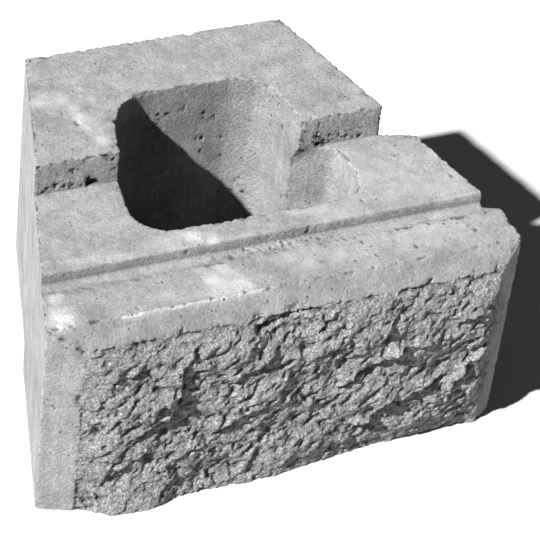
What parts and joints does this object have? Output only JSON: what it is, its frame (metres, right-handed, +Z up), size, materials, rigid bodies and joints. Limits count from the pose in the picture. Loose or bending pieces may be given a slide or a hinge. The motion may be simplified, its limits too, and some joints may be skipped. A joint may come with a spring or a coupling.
{
  "type": "split-face retaining wall block",
  "caption": "Moulded concrete retaining wall block with a split face, bevelled returns, an open core and a raised locking lug across the tail.",
  "frame": {"origin": "on the floor, at the middle of the block's own bounding box", "axes": "+Z up, towards the lug; -Y out of the split face; +Y towards the tail; +X to the right seen from the face"},
  "size_m": [0.4, 0.304, 0.23],
  "materials": {
    "concrete": "dry-cast concrete, fine open texture, with a coarse broken face"
  },
  "bodies": {
    "root": {"block": "concrete"}
  },
  "joints": []
}
